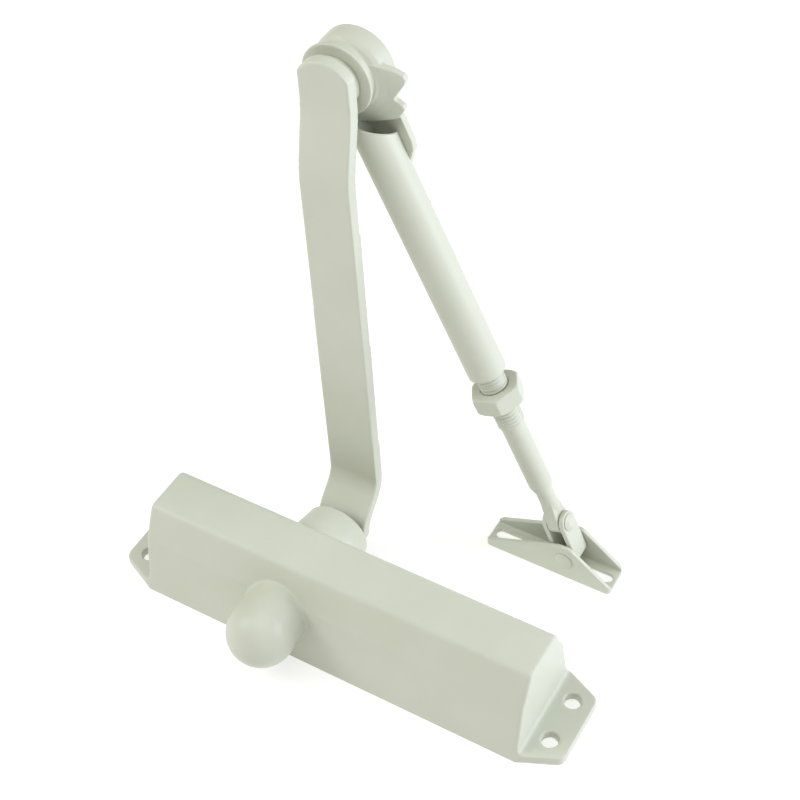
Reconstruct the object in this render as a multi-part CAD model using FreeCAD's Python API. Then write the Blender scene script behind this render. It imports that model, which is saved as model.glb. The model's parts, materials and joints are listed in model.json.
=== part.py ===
import FreeCAD, Part
import math
import os
from FreeCAD import Vector

# A surface-mounted hydraulic door closer with its double arm, in millimetres.
# The housing and the foot bracket stand on z = 0. X runs along the housing, Y along the pinion,
# and the origin is the centre of the four mounting holes.

# Fits and clearances
RUNNING_FIT = 0.03
SLIDING_FIT = 0.05
FACE_GAP = 0.2
MOVING_GAP = 0.35

# Housing
BODY_LENGTH = 153.0
BASE_WIDTH = 40.0
SHOULDER_WIDTH = 30.6
SHOULDER_HEIGHT = 24.6
TOP_WIDTH = 18.6
BODY_HEIGHT = 37.3
EDGE_ROUND = 3.0
END_CHAMFER = 0.6
FLANGE_LENGTH = 14.5
FLANGE_THICKNESS = 4.0
FLANGE_END_WIDTH = 27.0
FLANGE_CORNER_ROUND = 3.0
FLANGE_FILLET = 1.6
MOUNT_HOLE_RADIUS = 3.0
MOUNT_HOLE_OUT = 7.1
MOUNT_PITCH_Y = 17.3

# Cylinder bore
BORE_RADIUS = 13.0
BORE_HEIGHT = 18.0
BORE_END_WALL = 10.5

# Pinion and its bosses
PINION_FROM_END = 56.5
PITCH_RADIUS = 6.0
TOOTH_COUNT = 12
PRESSURE_ANGLE = math.radians(20.0)
TOOTH_BACKLASH = 0.24
TOOTH_ROOT_SINK = 0.9
ADDENDUM = 0.85
DEDENDUM = 1.25
GEAR_FACE = 18.0
THRUST_RADIUS = 6.4
UPPER_JOURNAL_RADIUS = 5.5
LOWER_JOURNAL_RADIUS = 5.0
SQUARE_SIZE = 7.6
SQUARE_CORNER_RADIUS = 5.0
SQUARE_SHORT = 0.5
UPPER_BEARING_WALL = 4.1
LOWER_BEARING_WALL = 3.0
BEARING_LENGTH = 5.6
SEAL_THICKNESS = 2.6
GLAND_LENGTH = 4.55
UPPER_BOSS_WALL = 2.3
UPPER_BOSS_FLARE = 1.7
UPPER_BOSS_FOOT_SINK = 3.0
BOSS_CHAMFER = 0.5
LOWER_BOSS_WALL = 1.9
LOWER_PLUG_THICKNESS = 2.6
LOWER_PLUG_SOCKET = 8.0
GLAND_NOTCH_WIDTH = 2.4
GLAND_NOTCH_DEPTH = 1.2

# Pinion cap
CAP_RADIUS = 12.5
CAP_NECK_RADIUS = 12.2
CAP_WALL = 1.6
CAP_SEAT_DEPTH = 1.0
CAP_OUT = 7.0
CAP_STEPS = 6

# Piston
PISTON_CLEARANCE = 0.05
OPENING_ANGLE = math.radians(180.0)
WINDOW_CLEARANCE = 1.0
PISTON_HEAD = 9.0
PISTON_SKIRT = 15.0
PISTON_RING_AT = 4.0
PISTON_RING_WIDTH = 2.0
PISTON_RING_DEPTH = 1.4
RACK_TEETH_BEYOND = 3
RACK_ROOT_SINK = 0.3
SPRING_SEAT_AT = 5.0
SPRING_SEAT_CLEARANCE = 0.5
SPRING_GUIDE_CLEARANCE = 1.6
BALL_RADIUS = 2.4
BALL_STEPS = 3
BALL_PASSAGE_RADIUS = 1.6
RETAINER_THICKNESS = 1.4

# Closing spring
SPRING_WIRE_RADIUS = 1.5
SPRING_BORE_CLEARANCE = 1.9
SPRING_TURNS = 8
SPRING_STEPS = 12
WIRE_SIDES = 6

# End plug and valve screws
PLUG_LENGTH = 10.0
PLUG_SOCKET_SIZE = 10.0
PLUG_SOCKET_DEPTH = 5.0
PLUG_GROOVE_BACK = 3.5
RING_SECTION = 1.0
VALVE_RADIUS = 2.2
VALVE_LENGTH = 17.0
VALVE_Y = 14.6
VALVE_Z = 7.2
VALVE_TIP_LENGTH = 4.0
VALVE_SLOT_WIDTH = 1.0
VALVE_SLOT_DEPTH = 1.2
VALVE_POINT_RADIUS = 0.6
VALVE_GROOVE_AT = 4.0
VALVE_GROOVE_WIDTH = 1.4
VALVE_GROOVE_DEPTH = 0.9
VALVE_RING_WIDTH = 0.9

# Main arm: bends are measured up from the pinion and down from the elbow
ARM_STANDOFF = 6.5
ARM_LENGTH = 183.3
ARM_OFFSET = -0.5
ARM_THICKNESS = 4.5
ARM_LOWER_WIDTH = 19.8
ARM_UPPER_WIDTH = 17.6
ARM_CROWN_RADIUS = 10.3
ARM_LOWER_JOGGLE = 11.4
ARM_UPPER_JOGGLE = 4.6
ARM_LOWER_BEND = 4.0
ARM_LOWER_BEND_RISE = 12.0
ARM_UPPER_BEND = 28.3
ARM_UPPER_BEND_RISE = 21.0
ARM_BEND_RADIUS = 10.0
ARM_GENTLE_RADIUS = 40.0
ARM_SCREW_RADIUS = 4.3
ARM_SCREW_HEAD = 3.0
ARM_SCREW_SOCKET = 4.0
ARM_SCREW_SOCKET_DEPTH = 1.8
ARM_SCREW_SHANK = 2.5
ARM_SCREW_LENGTH = 12.0
ARM_WASHER_RADIUS = 6.0
ARM_WASHER_THICKNESS = 1.0

# Elbow pin and washer
ELBOW_PIN_RADIUS = 4.5
ELBOW_STEM_RADIUS = 3.5
ELBOW_SKIN = 1.4
ELBOW_COLLAR_RADIUS = 8.4
ELBOW_COLLAR_LENGTH = 2.6
ELBOW_HEAD_RADIUS = 7.5
ELBOW_HEAD_HEIGHT = 2.2
ELBOW_WASHER_RADIUS = 12.0
ELBOW_WASHER_THICKNESS = 1.2

# Knuckle: a drum round the pin with a flared front and two claws on its right side
KNUCKLE_DEPTH = 11.0
KNUCKLE_RADIUS = 12.2
KNUCKLE_NECK_RADIUS = 11.0
KNUCKLE_NECK = 1.6
KNUCKLE_CORE_RADIUS = 8.4
KNUCKLE_WALL = 2.0
FLARE_WAIST_RADIUS = 15.5
FLARE_WAIST = 2.0
FLARE_RADIUS = 22.5
FLARE_RISE = 5.0
MOUTH_AT = 18.6
CLAW_OUTLINE = [(1.0, 11.5), (2.0, 17.0), (5.9, 19.2), (11.4, 12.2), (15.3, 14.8), (MOUTH_AT, 9.8)]
CLAW_ROUNDS = [0, 1.5, 1.8, 0.9, 1.4, 1.2]
MOUTH_CORNER_ROUND = 3.0
POCKET_HALF_WIDTH = 8.0
EAR_THICKNESS = 2.4
EAR_ROOT = (8.0, 8.6)
EAR_CORNER = (30.0, 9.4)
EAR_END = (37.2, 4.0)
EAR_ROUND = 2.5

# Forearm: its axis runs from the elbow to the foot pin and leans a little off the arm's plane
FOREARM_DEPTH = 3.6
FOREARM_REACH_X = 75.5
FOREARM_LEAN_Y = 9.7
FOREARM_DROP_Z = 189.9
EYE_HEIGHT = 22.713
TUBE_RADIUS = 6.75
TUBE_WALL = 1.6
TUBE_START = 24.0
TUBE_THREAD_LENGTH = 34.0
TUBE_CHAMFER = 0.8
SPIGOT_LENGTH = 19.5
TUBE_RIVET_IN = 9.5
TUBE_RIVET_RADIUS = 1.75

# Adjusting rod, lock nut and tang, measured from the tube's end
ROD_THREAD_RADIUS = 4.95
ROD_THREAD_CHAMFER = 0.8
ROD_SHANK_RADIUS = 4.35
ROD_NECK_RADIUS = 3.2
ROD_INSIDE = 26.0
ROD_THREAD_OUT = 24.5
ROD_SHANK_OUT = 53.0
ROD_TAPER = 4.0
ROD_EYE_OUT = 73.0
ROD_NECK_SHORT = 7.0
ROD_TANG_SINK = 5.0
NUT_OUT = 6.3
NUT_HEIGHT = 7.0
NUT_ACROSS_FLATS = 16.5
NUT_CHAMFER = 1.1
TANG_THICKNESS = 4.6
TANG_WIDTH = 8.4

# Foot link, bracket and their pins
FOOT_RIVET_RADIUS = 2.0
FOOT_RIVET_HEAD_RADIUS = 3.4
FOOT_RIVET_HEAD_HEIGHT = 1.2
BRACKET_PIN_RADIUS = 2.5
BRACKET_PIN_HEAD_RADIUS = 3.6
BRACKET_PIN_HEAD_HEIGHT = 0.9
HEAD_EDGE = 0.3
LINK_THICKNESS = 1.9
LINK_WIDTH = 8.4
BRACKET_SHEET = 1.6
BRACKET_INNER_WIDTH = 9.1
BRACKET_LEFT_OF_PIN = 32.1
BRACKET_RIGHT_OF_PIN = 18.8
BRACKET_END_HEIGHT = 3.0
BRACKET_HEIGHT = 16.3
BRACKET_TOP_LENGTH = 4.6
BRACKET_TOP_ROUND = 3.0
BRACKET_END_ROUND = 1.0
BRACKET_CORNER_ROUND = 2.0
BRACKET_PIN_HEIGHT = 9.3
BRACKET_SLOT_LENGTH = 10.5
BRACKET_SLOT_WIDTH = 4.0
BRACKET_SLOT_PITCH = 37.3

# Places worked out from the driving values
HALF_BODY = BODY_LENGTH / 2
MOUNT_PITCH_X = BODY_LENGTH + 2 * MOUNT_HOLE_OUT
BORE_END = HALF_BODY - BORE_END_WALL
PINION_X = PINION_FROM_END - HALF_BODY
PISTON_TRAVEL = PITCH_RADIUS * OPENING_ANGLE
PISTON_RADIUS = BORE_RADIUS - PISTON_CLEARANCE
MODULE = 2 * PITCH_RADIUS / TOOTH_COUNT
GEAR_RADIUS = PITCH_RADIUS + ADDENDUM
GEAR_ROOT = PITCH_RADIUS - DEDENDUM
WINDOW_HALF_HEIGHT = PITCH_RADIUS + DEDENDUM
WINDOW_RIGHT = PINION_X + GEAR_RADIUS + WINDOW_CLEARANCE
WINDOW_LEFT = PINION_X - GEAR_RADIUS - WINDOW_CLEARANCE - PISTON_TRAVEL
PISTON_LEFT = WINDOW_LEFT - PISTON_HEAD
PISTON_RIGHT = WINDOW_RIGHT + PISTON_SKIRT
SPRING_MEAN_RADIUS = BORE_RADIUS - SPRING_BORE_CLEARANCE - SPRING_WIRE_RADIUS
UPPER_HOLE_RADIUS = UPPER_JOURNAL_RADIUS + UPPER_BEARING_WALL
LOWER_HOLE_RADIUS = LOWER_JOURNAL_RADIUS + LOWER_BEARING_WALL
UPPER_BOSS_TOP_RADIUS = UPPER_HOLE_RADIUS + UPPER_BOSS_WALL
LOWER_BOSS_RADIUS = LOWER_HOLE_RADIUS + LOWER_BOSS_WALL
BEARING_START = BORE_RADIUS + MOVING_GAP
LOWER_BOSS_END = BEARING_START + BEARING_LENGTH + LOWER_PLUG_THICKNESS
CAP_SEAT = BASE_WIDTH / 2 - CAP_SEAT_DEPTH
CAP_CENTRE = CAP_SEAT + CAP_OUT
ARM_SEAT = BASE_WIDTH / 2 + ARM_STANDOFF
ARM_BACK = ARM_SEAT + ARM_THICKNESS
ARM_PLANE = ARM_SEAT + ARM_LOWER_JOGGLE
GLAND_END = ARM_SEAT - 2 * FACE_GAP
SEAL_START = GLAND_END - GLAND_LENGTH - SEAL_THICKNESS
ELBOW_X = PINION_X + ARM_OFFSET
ELBOW_Z = BORE_HEIGHT + ARM_LENGTH
ELBOW_FRONT = ARM_PLANE + ARM_UPPER_JOGGLE
ELBOW_BACK = ELBOW_FRONT + ARM_THICKNESS
ELBOW_COLLAR_END = ELBOW_BACK + ELBOW_COLLAR_LENGTH
HEAD_FRONT = ELBOW_COLLAR_END + ELBOW_WASHER_THICKNESS + FACE_GAP
HEAD_BACK = HEAD_FRONT + KNUCKLE_DEPTH
FOREARM_TOP = Vector(ELBOW_X, HEAD_FRONT + FOREARM_DEPTH, ELBOW_Z)
FOREARM = Vector(FOREARM_REACH_X, FOREARM_LEAN_Y, -FOREARM_DROP_Z).normalize()
FOREARM_SIDE = Vector(0, 1, 0).cross(FOREARM).normalize()
FOREARM_FLAT = FOREARM.cross(FOREARM_SIDE).normalize()
SPIGOT_RADIUS = TUBE_RADIUS - TUBE_WALL
EYE_AT = (ELBOW_Z - EYE_HEIGHT) / -FOREARM.z
TUBE_END = EYE_AT - ROD_EYE_OUT
ROD_START = TUBE_END - ROD_INSIDE
ROD_THREAD_END = TUBE_END + ROD_THREAD_OUT
ROD_SHANK_END = TUBE_END + ROD_SHANK_OUT
ROD_NECK_END = EYE_AT - ROD_NECK_SHORT
NUT_START = TUBE_END + NUT_OUT
BRACKET_HALF_WIDTH = BRACKET_INNER_WIDTH / 2 + BRACKET_SHEET
EYE = FOREARM_TOP + FOREARM * EYE_AT
BRACKET_Y = EYE.y
PIN_RUN = (EYE.z - BRACKET_PIN_HEIGHT) / -FOREARM.z
FOOT_PIN_X = EYE.x + FOREARM.x * PIN_RUN
FOOT_PIN = Vector(FOOT_PIN_X, BRACKET_Y, BRACKET_PIN_HEIGHT)
BRACKET_LEFT = FOOT_PIN_X - BRACKET_LEFT_OF_PIN
BRACKET_RIGHT = FOOT_PIN_X + BRACKET_RIGHT_OF_PIN

ALONG_X = Vector(1, 0, 0)
ALONG_Y = Vector(0, 1, 0)
ALONG_Z = Vector(0, 0, 1)
EDGE_TOLERANCE = 1e-6


def rod(start, direction, radius, length):
    """Round bar from a point along a direction."""
    return Part.makeCylinder(radius, length, start, direction)


def ring(start, direction, outer, inner, length):
    """Round bar with a hole through it."""
    return rod(start, direction, outer, length).cut(rod(start, direction, inner, length))


def rounded_wire(corners, radii):
    """Closed wire through flat corners, each rounded to its own radius."""
    edges = []
    count = len(corners)
    ends = []
    for i in range(count):
        corner = corners[i]
        before = corners[i - 1].sub(corner).normalize()
        after = corners[(i + 1) % count].sub(corner).normalize()
        if radii[i] == 0:
            ends.append((corner, corner))
            continue
        half = before.getAngle(after) / 2
        reach = radii[i] / math.tan(half)
        first = corner + before * reach
        last = corner + after * reach
        middle = (before + after).normalize()
        centre = corner + middle * (radii[i] / math.sin(half))
        edges.append(Part.Arc(first, centre - middle * radii[i], last).toShape())
        ends.append((first, last))
    for i in range(count):
        start = ends[i - 1][1]
        end = ends[i][0]
        if start.distanceToPoint(end) > EDGE_TOLERANCE:
            edges.append(Part.LineSegment(start, end).toShape())
    return Part.Wire(Part.__sortEdges__(edges))


def prism(corners, radii, sweep):
    """Straight extrusion of a rounded outline."""
    return Part.Face(rounded_wire(corners, radii)).extrude(sweep)


def section_yz(points, x):
    """Flat points (y, z) placed at one x."""
    return [Vector(x, y, z) for y, z in points]


def section_xz(points, y):
    """Flat points (x, z) placed at one y."""
    return [Vector(x, y, z) for x, z in points]


def section_xy(points, z):
    """Flat points (x, y) placed at one z."""
    return [Vector(x, y, z) for x, y in points]


def revolved_y(profile, x, z):
    """Solid of revolution about a line along Y; profile holds (radius, y) points."""
    points = [Vector(x + radius, y, z) for radius, y in profile]
    points.append(points[0])
    face = Part.Face(Part.makePolygon(points))
    return face.revolve(Vector(x, 0, z), ALONG_Y, 360)


def revolved_along(profile, origin, direction, side):
    """Solid of revolution about a slanted line; profile holds (radius, distance) points."""
    points = [origin + side * radius + direction * distance for radius, distance in profile]
    points.append(points[0])
    return Part.Face(Part.makePolygon(points)).revolve(origin, direction, 360)


def hexagon(centre, direction, across_flats, length):
    """Hexagonal prism with one pair of flats square to X or Z."""
    corner_radius = across_flats / math.sqrt(3)
    points = []
    side = direction.cross(ALONG_Z)
    if side.Length < 0.5:
        side = direction.cross(ALONG_Y)
    side.normalize()
    up = direction.cross(side).normalize()
    for i in range(6):
        angle = math.radians(60 * i)
        offset = side * (corner_radius * math.cos(angle)) + up * (corner_radius * math.sin(angle))
        points.append(centre + offset)
    points.append(points[0])
    return Part.Face(Part.makePolygon(points)).extrude(direction * length)


def on_forearm(distance):
    """Point on the forearm's axis at a distance from the elbow."""
    return FOREARM_TOP + FOREARM * distance


def body_section():
    """Faceted section of the housing with rounded ridges."""
    points = [
        (-BASE_WIDTH / 2, 0),
        (BASE_WIDTH / 2, 0),
        (SHOULDER_WIDTH / 2, SHOULDER_HEIGHT),
        (TOP_WIDTH / 2, BODY_HEIGHT),
        (-TOP_WIDTH / 2, BODY_HEIGHT),
        (-SHOULDER_WIDTH / 2, SHOULDER_HEIGHT),
    ]
    return points, [0, 0, EDGE_ROUND, EDGE_ROUND, EDGE_ROUND, EDGE_ROUND]


def body_block(length):
    points, radii = body_section()
    return prism(section_yz(points, -length / 2), radii, ALONG_X * length)


def rounded_body():
    """Main block with broken edges round both end faces."""
    block = body_block(BODY_LENGTH)
    rim = []
    for edge in block.Edges:
        box = edge.BoundBox
        if box.XLength < EDGE_TOLERANCE and box.ZMax > EDGE_TOLERANCE:
            rim.append(edge)
    return block.makeChamfer(END_CHAMFER, rim)


def flanges():
    """Both screw flanges, cut from the same section as the body."""
    half_length = HALF_BODY + FLANGE_LENGTH
    half_base = BASE_WIDTH / 2
    half_end = FLANGE_END_WIDTH / 2
    outline = [
        (-half_length, -half_end), (-HALF_BODY, -half_base), (HALF_BODY, -half_base),
        (half_length, -half_end), (half_length, half_end), (HALF_BODY, half_base),
        (-HALF_BODY, half_base), (-half_length, half_end),
    ]
    corner = FLANGE_CORNER_ROUND
    radii = [corner, 0, 0, corner, corner, 0, 0, corner]
    plate = prism(section_xy(outline, 0), radii, ALONG_Z * FLANGE_THICKNESS)
    return plate.common(body_block(2 * half_length))


def flange_cove(side):
    """Hollow fillet between an end face and its flange."""
    face = side * HALF_BODY
    reach = face + side * FLANGE_FILLET
    low = FLANGE_THICKNESS
    high = FLANGE_THICKNESS + FLANGE_FILLET
    turn = FLANGE_FILLET * (1 - math.sqrt(0.5))
    start = -BASE_WIDTH / 2
    inside = face - side
    corner = Vector(reach, start, low)
    top = Vector(face, start, high)
    middle = Vector(face + side * turn, start, low + turn)
    edges = [
        Part.LineSegment(Vector(inside, start, low), corner).toShape(),
        Part.Arc(corner, middle, top).toShape(),
        Part.LineSegment(top, Vector(inside, start, high)).toShape(),
        Part.LineSegment(Vector(inside, start, high), Vector(inside, start, low)).toShape(),
    ]
    bar = Part.Face(Part.Wire(edges)).extrude(ALONG_Y * BASE_WIDTH)
    return bar.common(body_block(BODY_LENGTH + 4 * FLANGE_FILLET))


def upper_boss():
    """Conical boss on the arm side."""
    top = GLAND_END - BOSS_CHAMFER
    foot_radius = UPPER_BOSS_TOP_RADIUS + UPPER_BOSS_FLARE
    return revolved_y(
        [
            (0, 0), (foot_radius, 0), (foot_radius, BASE_WIDTH / 2 - UPPER_BOSS_FOOT_SINK),
            (UPPER_BOSS_TOP_RADIUS + BOSS_CHAMFER, top - BOSS_CHAMFER), (UPPER_BOSS_TOP_RADIUS, top),
            (0, top),
        ],
        PINION_X, BORE_HEIGHT,
    )


def lower_boss():
    """Round neck under the pinion cap, and the core that the cap is pressed on."""
    centre = Vector(PINION_X, 0, BORE_HEIGHT)
    neck = rod(centre, -ALONG_Y, CAP_NECK_RADIUS, CAP_SEAT)
    core = rod(centre, -ALONG_Y, LOWER_BOSS_RADIUS, LOWER_BOSS_END)
    return neck.fuse(core)


def valve_place(side):
    return Vector(-HALF_BODY, side * VALVE_Y, VALVE_Z)


def housing():
    body = rounded_body()
    body = body.fuse([flanges(), flange_cove(1), flange_cove(-1), upper_boss(), lower_boss()])
    body = body.removeSplitter()
    bore = rod(Vector(-HALF_BODY - 1, 0, BORE_HEIGHT), ALONG_X, BORE_RADIUS, BORE_END + HALF_BODY + 1)
    centre = Vector(PINION_X, 0, BORE_HEIGHT)
    cuts = [
        bore,
        rod(centre, ALONG_Y, UPPER_HOLE_RADIUS, GLAND_END + 1),
        rod(centre, -ALONG_Y, LOWER_HOLE_RADIUS, LOWER_BOSS_END + 1),
    ]
    for side in (-1, 1):
        cuts.append(rod(valve_place(side) - ALONG_X, ALONG_X, VALVE_RADIUS + SLIDING_FIT, VALVE_LENGTH + 2))
        for across in (-1, 1):
            hole = Vector(side * MOUNT_PITCH_X / 2, across * MOUNT_PITCH_Y / 2, -1)
            cuts.append(rod(hole, ALONG_Z, MOUNT_HOLE_RADIUS, FLANGE_THICKNESS + 2))
    return body.cut(cuts)


def end_plug():
    """Threaded plug that closes the open end of the bore."""
    start = Vector(-HALF_BODY, 0, BORE_HEIGHT)
    groove = Vector(-HALF_BODY + PLUG_LENGTH - PLUG_GROOVE_BACK, 0, BORE_HEIGHT)
    body = rod(start, ALONG_X, BORE_RADIUS, PLUG_LENGTH)
    body = body.cut(hexagon(start, ALONG_X, PLUG_SOCKET_SIZE, PLUG_SOCKET_DEPTH))
    return body.cut(ring(groove, ALONG_X, BORE_RADIUS + 1, BORE_RADIUS - 2 * RING_SECTION, 2 * RING_SECTION))


def end_plug_seal():
    """Ring that fills the plug's groove; its section is squared, as it sits squeezed."""
    start = Vector(-HALF_BODY + PLUG_LENGTH - PLUG_GROOVE_BACK, 0, BORE_HEIGHT)
    return ring(start, ALONG_X, BORE_RADIUS, BORE_RADIUS - 2 * RING_SECTION, 2 * RING_SECTION)


def ball_place():
    return Vector(PISTON_LEFT + RETAINER_THICKNESS + BALL_RADIUS + SLIDING_FIT, 0, BORE_HEIGHT)


def rack_tooth(x):
    """One trapezoidal rack tooth that points down into the window."""
    lean = math.tan(PRESSURE_ANGLE)
    half = math.pi * MODULE / 4 - TOOTH_BACKLASH / 2
    tip = half - ADDENDUM * lean
    root = half + DEDENDUM * lean
    tip_z = BORE_HEIGHT + PITCH_RADIUS - ADDENDUM
    root_z = BORE_HEIGHT + PITCH_RADIUS + DEDENDUM + RACK_ROOT_SINK
    points = [(x - root, root_z), (x - tip, tip_z), (x + tip, tip_z), (x + root, root_z)]
    return prism(section_xz(points, -GEAR_FACE / 2), [0, 0, 0, 0], ALONG_Y * GEAR_FACE)


def piston():
    length = PISTON_RIGHT - PISTON_LEFT
    start = Vector(PISTON_LEFT, 0, BORE_HEIGHT)
    body = rod(start, ALONG_X, PISTON_RADIUS, length)
    window = Part.makeBox(
        WINDOW_RIGHT - WINDOW_LEFT, 4 * BORE_RADIUS, 2 * WINDOW_HALF_HEIGHT,
        Vector(WINDOW_LEFT, -2 * BORE_RADIUS, BORE_HEIGHT - WINDOW_HALF_HEIGHT),
    )
    seat_start = Vector(WINDOW_RIGHT + SPRING_SEAT_AT, 0, BORE_HEIGHT)
    spring_outside = SPRING_MEAN_RADIUS + SPRING_WIRE_RADIUS + SPRING_SEAT_CLEARANCE
    spring_inside = SPRING_MEAN_RADIUS - SPRING_WIRE_RADIUS - SPRING_GUIDE_CLEARANCE
    spring_seat = ring(seat_start, ALONG_X, spring_outside, spring_inside, PISTON_SKIRT)
    groove = ring(
        start + ALONG_X * PISTON_RING_AT, ALONG_X,
        BORE_RADIUS + 1, BORE_RADIUS - PISTON_RING_DEPTH, PISTON_RING_WIDTH,
    )
    pocket = rod(start - ALONG_X, ALONG_X, BALL_RADIUS + SLIDING_FIT, 1 + RETAINER_THICKNESS + 2 * BALL_RADIUS)
    passage = rod(start, ALONG_X, BALL_PASSAGE_RADIUS, PISTON_HEAD + 1)
    body = body.cut([window, spring_seat, groove, pocket, passage])
    pitch = math.pi * MODULE
    teeth = []
    for i in range(TOOTH_COUNT // 2 + RACK_TEETH_BEYOND):
        teeth.append(rack_tooth(PINION_X + pitch / 2 - i * pitch))
    return body.fuse(teeth).removeSplitter()


def piston_seal():
    return ring(
        Vector(PISTON_LEFT + PISTON_RING_AT, 0, BORE_HEIGHT), ALONG_X,
        BORE_RADIUS - RUNNING_FIT, BORE_RADIUS - PISTON_RING_DEPTH, PISTON_RING_WIDTH,
    )


def ball_arc(radius, first, last, steps):
    """Points (radius, distance) of a round profile between two angles above the equator."""
    points = []
    for i in range(steps + 1):
        angle = first + (last - first) * i / steps
        points.append((radius * math.cos(angle), radius * math.sin(angle)))
    points[-1] = (0, radius) if last == math.pi / 2 else points[-1]
    return points


def check_ball():
    half = ball_arc(BALL_RADIUS, 0, math.pi / 2, BALL_STEPS)
    other = [(radius, -distance) for radius, distance in half[:0:-1]]
    return revolved_along(other + half, ball_place(), ALONG_X, ALONG_Z)


def check_retainer():
    start = Vector(PISTON_LEFT, 0, BORE_HEIGHT)
    return ring(start, ALONG_X, BALL_RADIUS + SLIDING_FIT, BALL_PASSAGE_RADIUS, RETAINER_THICKNESS)


def flat_face(points):
    return Part.Face(Part.makePolygon(points + points[:1]))


def main_spring():
    """Closing spring from the piston's seat to the blind end of the bore."""
    start_x = WINDOW_RIGHT + SPRING_SEAT_AT + SPRING_WIRE_RADIUS
    length = BORE_END - SPRING_WIRE_RADIUS - start_x
    steps = SPRING_TURNS * SPRING_STEPS
    sections = []
    for i in range(steps + 1):
        turn = 2 * math.pi * i / SPRING_STEPS
        outward = Vector(0, math.cos(turn), math.sin(turn))
        centre = Vector(start_x + length * i / steps, 0, BORE_HEIGHT) + outward * SPRING_MEAN_RADIUS
        points = []
        for j in range(WIRE_SIDES):
            angle = 2 * math.pi * j / WIRE_SIDES
            points.append(centre + (ALONG_X * math.cos(angle) + outward * math.sin(angle)) * SPRING_WIRE_RADIUS)
        sections.append(points)
    faces = [flat_face(sections[0]), flat_face(sections[-1])]
    for near, far in zip(sections, sections[1:]):
        for j in range(WIRE_SIDES):
            k = (j + 1) % WIRE_SIDES
            faces.append(flat_face([near[j], near[k], far[k]]))
            faces.append(flat_face([near[j], far[k], far[j]]))
    return Part.makeSolid(Part.makeShell(faces))


def involute_point(base, radius, turn, side):
    """Point of a tooth flank at a radius; turn is the tooth's middle angle."""
    roll = math.acos(min(1.0, base / radius))
    pitch_roll = math.acos(base / PITCH_RADIUS)
    half_tooth = math.pi / (2 * TOOTH_COUNT) - TOOTH_BACKLASH / (2 * PITCH_RADIUS)
    spread = half_tooth + (math.tan(pitch_roll) - pitch_roll) - (math.tan(roll) - roll)
    angle = turn + side * spread
    return Vector(PINION_X + radius * math.sin(angle), 0, BORE_HEIGHT + radius * math.cos(angle))


def gear():
    """Pinion teeth with involute flanks; the shaft's own face is the tooth root."""
    base = PITCH_RADIUS * math.cos(PRESSURE_ANGLE)
    centre = Vector(PINION_X, 0, BORE_HEIGHT)
    sunk = GEAR_ROOT * TOOTH_ROOT_SINK / base
    teeth = []
    for i in range(TOOTH_COUNT):
        turn = 2 * math.pi * i / TOOTH_COUNT
        radii = [base, (base + GEAR_RADIUS) / 2, GEAR_RADIUS]
        left = [involute_point(base, radius, turn, -1) for radius in radii]
        right = [involute_point(base, radius, turn, 1) for radius in radii]
        left_root = centre + (left[0] - centre) * sunk
        right_root = centre + (right[0] - centre) * sunk
        outline = [left_root] + left + right[::-1] + [right_root, left_root]
        face = Part.Face(Part.makePolygon(outline))
        face.translate(-ALONG_Y * (GEAR_FACE / 2))
        teeth.append(face.extrude(ALONG_Y * GEAR_FACE))
    core = rod(centre - ALONG_Y * (GEAR_FACE / 2), ALONG_Y, GEAR_ROOT, GEAR_FACE)
    return core.fuse(teeth)


def pinion_shaft():
    """Toothed shaft with thrust collars, two journals and the square for the arm."""
    square_end = ARM_BACK - SQUARE_SHORT
    half = GEAR_FACE / 2
    lower_end = BEARING_START + BEARING_LENGTH
    stem = revolved_y(
        [
            (0, -lower_end + FACE_GAP), (LOWER_JOURNAL_RADIUS, -lower_end + FACE_GAP),
            (LOWER_JOURNAL_RADIUS, -BEARING_START + FACE_GAP), (THRUST_RADIUS, -BEARING_START + FACE_GAP),
            (THRUST_RADIUS, -half), (GEAR_ROOT, -half), (GEAR_ROOT, half), (THRUST_RADIUS, half),
            (THRUST_RADIUS, BEARING_START - FACE_GAP), (UPPER_JOURNAL_RADIUS, BEARING_START - FACE_GAP),
            (UPPER_JOURNAL_RADIUS, ARM_SEAT), (SQUARE_CORNER_RADIUS, ARM_SEAT),
            (SQUARE_CORNER_RADIUS, square_end), (0, square_end),
        ],
        PINION_X, BORE_HEIGHT,
    )
    past = SQUARE_CORNER_RADIUS + 1
    sleeve = Part.makeBox(
        2 * past, square_end - ARM_SEAT, 2 * past,
        Vector(PINION_X - past, ARM_SEAT, BORE_HEIGHT - past),
    )
    square = Part.makeBox(
        SQUARE_SIZE, square_end - ARM_SEAT, SQUARE_SIZE,
        Vector(PINION_X - SQUARE_SIZE / 2, ARM_SEAT, BORE_HEIGHT - SQUARE_SIZE / 2),
    )
    thread = rod(
        Vector(PINION_X, square_end + 1, BORE_HEIGHT), -ALONG_Y, ARM_SCREW_SHANK,
        ARM_SCREW_LENGTH + 1,
    )
    return stem.cut(sleeve.cut(square)).fuse(gear()).cut(thread).removeSplitter()


def upper_bearing():
    start = Vector(PINION_X, BEARING_START, BORE_HEIGHT)
    length = SEAL_START - BEARING_START
    return ring(start, ALONG_Y, UPPER_HOLE_RADIUS, UPPER_JOURNAL_RADIUS + RUNNING_FIT, length)


def lower_bearing():
    start = Vector(PINION_X, -BEARING_START, BORE_HEIGHT)
    return ring(start, -ALONG_Y, LOWER_HOLE_RADIUS, LOWER_JOURNAL_RADIUS + RUNNING_FIT, BEARING_LENGTH)


def lower_plug():
    """Threaded plug that shuts the lower boss; it has a hexagon socket."""
    start = Vector(PINION_X, -LOWER_BOSS_END, BORE_HEIGHT)
    disc = rod(start, ALONG_Y, LOWER_HOLE_RADIUS, LOWER_PLUG_THICKNESS)
    return disc.cut(hexagon(start, ALONG_Y, LOWER_PLUG_SOCKET, LOWER_PLUG_THICKNESS / 2))


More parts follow.
